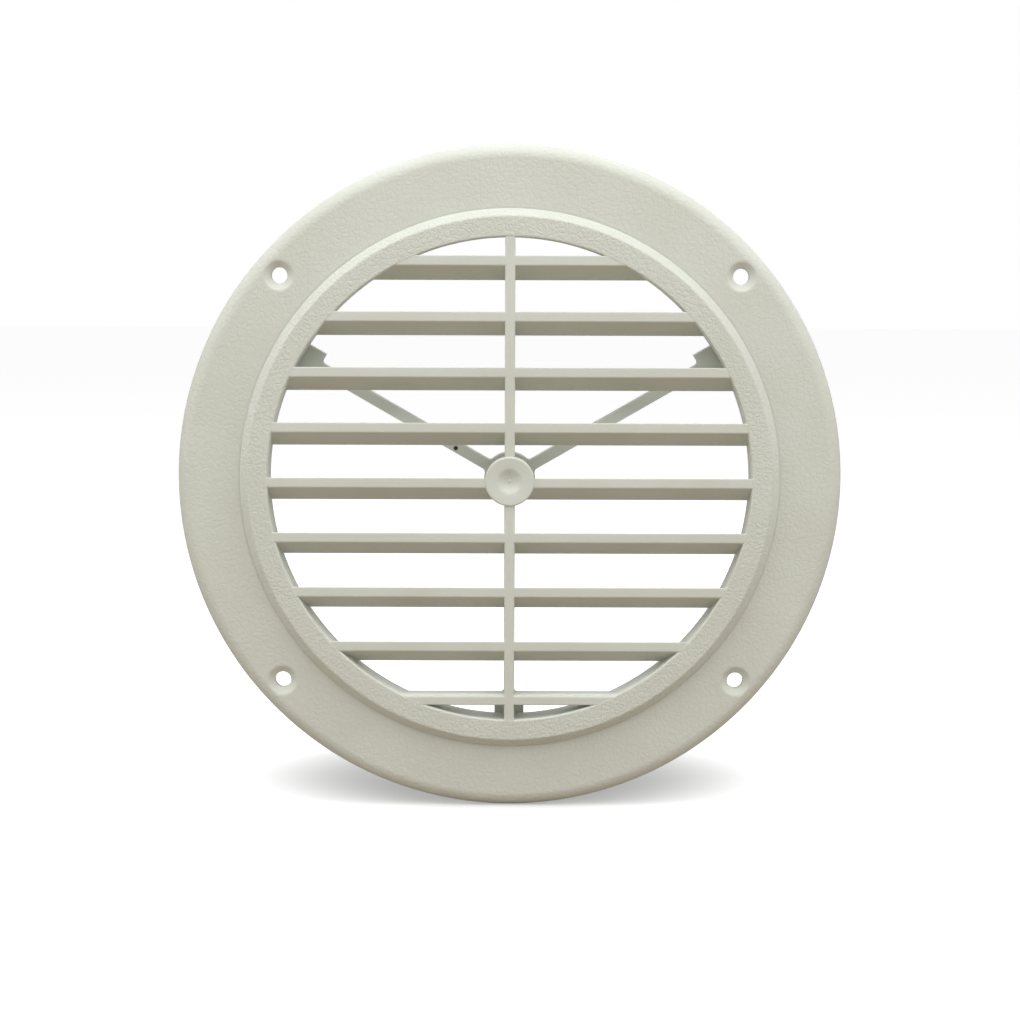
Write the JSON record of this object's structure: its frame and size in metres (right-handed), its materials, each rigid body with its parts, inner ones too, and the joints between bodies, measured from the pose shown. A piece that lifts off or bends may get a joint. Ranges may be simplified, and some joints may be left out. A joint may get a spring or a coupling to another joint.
{
  "type": "ceiling grille",
  "caption": "Round plastic ceiling air grille: a screw-on flange with a collar behind it, and a louvre disc of slanted slats that turns on a centre pivot to aim the air.",
  "frame": {"origin": "on the grille's axis, in the mounting plane at the back of the flange, at the centre of the screw holes", "axes": "+Z is the top of the grille as it stands in the picture, -Y faces the room, +Y goes into the duct and points up when the grille is on a ceiling"},
  "size_m": [0.1778, 0.018, 0.1778],
  "materials": {
    "ring_plastic": "warm off-white moulded plastic with a fine leather grain",
    "louvre_plastic": "warm off-white moulded plastic, grained on the ring and smooth on the slats"
  },
  "bodies": {
    "ring": {"mounting_ring": "ring_plastic"},
    "louvre": {"louvre_disc": "louvre_plastic"}
  },
  "joints": [
    {"name": "louvre_spin", "type": "hinge", "parent": "ring", "child": "louvre", "pos_m": [0, 0, 0], "axis": [0, -1, 0], "continuous": true}
  ]
}
